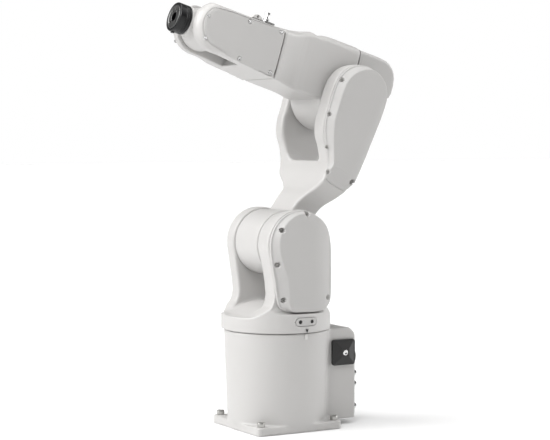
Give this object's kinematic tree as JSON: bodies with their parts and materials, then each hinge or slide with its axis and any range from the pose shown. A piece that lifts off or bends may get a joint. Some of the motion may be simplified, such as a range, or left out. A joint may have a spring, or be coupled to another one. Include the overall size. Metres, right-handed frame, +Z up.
{
  "type": "six-axis robot arm",
  "caption": "Compact six-axis bench-top robot arm: round base with rear connector box, turning yoke, forked upper arm, boxy elbow, forearm and black tool flange.",
  "frame": {"origin": "centre of the base's underside, on the axis 1 line", "axes": "+Z up along axis 1, +X forward, the way the forearm points, +Y to the arm's left"},
  "size_m": [0.5418, 0.24, 0.9074],
  "materials": {
    "casting_paint": "warm light grey enamel on cast aluminium, satin, very fine orange peel",
    "cover_paint": "light grey enamel on moulded covers, satin, a touch duller than the castings",
    "connector_black": "black moulded connector shell, matt",
    "bright_metal": "bright plated steel",
    "black_plastic": "black moulded plastic with a fine grain",
    "white_plastic": "white plastic",
    "screw_steel": "zinc-plated steel screws, slightly dull",
    "motor_case": "black lacquered servo motor case",
    "machined_steel": "machined steel",
    "belt_rubber": "black toothed belt rubber",
    "anodised_black": "black anodised aluminium, turned"
  },
  "bodies": {
    "base": {"base_casting": "casting_paint", "rear_connector_panel": "cover_paint", "power_inlet": "connector_black", "signal_inlet": "connector_black", "customer_signal_socket": "connector_black", "network_socket": "connector_black", "air_inlet_1": "bright_metal", "air_inlet_2": "bright_metal", "air_inlet_3": "bright_metal", "air_inlet_4": "bright_metal", "side_blanking_cap": "black_plastic", "blanking_cap_screw": "bright_metal", "zero_mark_tab": "white_plastic", "foundation_bolt_1": "screw_steel", "foundation_bolt_2": "screw_steel", "foundation_bolt_3": "screw_steel", "foundation_bolt_4": "screw_steel", "axis1_motor": "motor_case", "axis1_gear_unit": "machined_steel"},
    "turntable": {"turntable_casting": "casting_paint", "shoulder_side_cover": "cover_paint", "port_plate": "cover_paint", "port_plug_rear": "black_plastic", "port_plug_front": "black_plastic", "zero_pointer": "black_plastic", "axis2_gear_unit": "machined_steel", "axis2_motor": "motor_case", "shoulder_support_bearing": "machined_steel", "deck_plug": "bright_metal"},
    "upper_arm": {"upper_arm_casting": "casting_paint", "upper_arm_side_cover": "cover_paint", "axis3_gear_unit": "machined_steel", "axis3_motor": "motor_case", "axis3_belt": "belt_rubber", "elbow_support_bearing": "machined_steel"},
    "axis3_input_pulley": {"axis3_input_pulley": "machined_steel"},
    "axis3_motor_pulley": {"axis3_motor_pulley": "machined_steel"},
    "elbow": {"elbow_housing": "casting_paint", "elbow_rear_cover": "cover_paint", "axis4_motor": "motor_case", "axis4_gear_unit": "machined_steel"},
    "forearm": {"forearm_casting": "casting_paint", "forearm_left_cover": "cover_paint", "forearm_right_cover": "cover_paint", "lifting_lug": "white_plastic", "air_fitting": "bright_metal", "axis5_motor": "motor_case", "axis5_gear_unit": "machined_steel", "axis5_belt": "belt_rubber"},
    "axis5_input_pulley": {"axis5_input_pulley": "machined_steel"},
    "axis5_motor_pulley": {"axis5_motor_pulley": "machined_steel"},
    "wrist": {"wrist_housing": "casting_paint", "axis6_motor": "motor_case", "axis6_gear_unit": "machined_steel"},
    "tool_flange": {"tool_flange": "anodised_black", "flange_face": "bright_metal"}
  },
  "joints": [
    {"name": "axis1", "type": "hinge", "parent": "base", "child": "turntable", "pos_m": [0, 0, 0], "axis": [0, 0, 1], "range_deg": [-170, 170]},
    {"name": "axis2", "type": "hinge", "parent": "turntable", "child": "upper_arm", "pos_m": [0, 0, 0.3991], "axis": [0, 1, 0], "range_deg": [-73.7, 130]},
    {"name": "axis3", "type": "hinge", "parent": "upper_arm", "child": "elbow", "pos_m": [-0.15507, 0, 0.71287], "axis": [0, -1, 0], "range_deg": [-60.4, 209.6]},
    {"name": "axis4", "type": "hinge", "parent": "elbow", "child": "forearm", "pos_m": [-0.16714, 0, 0.7531], "axis": [0.9578, 0, 0.2874], "range_deg": [-270, 270]},
    {"name": "axis5", "type": "hinge", "parent": "forearm", "child": "wrist", "pos_m": [0.16905, 0, 0.85396], "axis": [0, 1, 0], "range_deg": [-130, 130]},
    {"name": "axis6", "type": "hinge", "parent": "wrist", "child": "tool_flange", "pos_m": [0.16905, 0, 0.85396], "axis": [0.9578, 0, 0.2874], "range_deg": [-400, 400]},
    {"name": "axis3_input_spin", "type": "hinge", "parent": "upper_arm", "child": "axis3_input_pulley", "pos_m": [-0.15507, 0, 0.71287], "axis": [0, -1, 0], "range_deg": [-17000, 17000]},
    {"name": "axis3_motor_spin", "type": "hinge", "parent": "upper_arm", "child": "axis3_motor_pulley", "pos_m": [-0.12338, 0, 0.6036], "axis": [0, -1, 0], "range_deg": [-28000, 28000]},
    {"name": "axis5_input_spin", "type": "hinge", "parent": "forearm", "child": "axis5_input_pulley", "pos_m": [0.16905, 0, 0.85396], "axis": [0, 1, 0], "range_deg": [-6600, 6600]},
    {"name": "axis5_motor_spin", "type": "hinge", "parent": "forearm", "child": "axis5_motor_pulley", "pos_m": [0.06331, 0, 0.82015], "axis": [0, 1, 0], "range_deg": [-9400, 9400]}
  ],
  "couplings": [
    {"joint": "axis3_input_spin", "follows": "axis3", "ratio": -80},
    {"joint": "axis3_motor_spin", "follows": "axis3", "ratio": -130},
    {"joint": "axis5_input_spin", "follows": "axis5", "ratio": -50},
    {"joint": "axis5_motor_spin", "follows": "axis5", "ratio": -71.429}
  ]
}
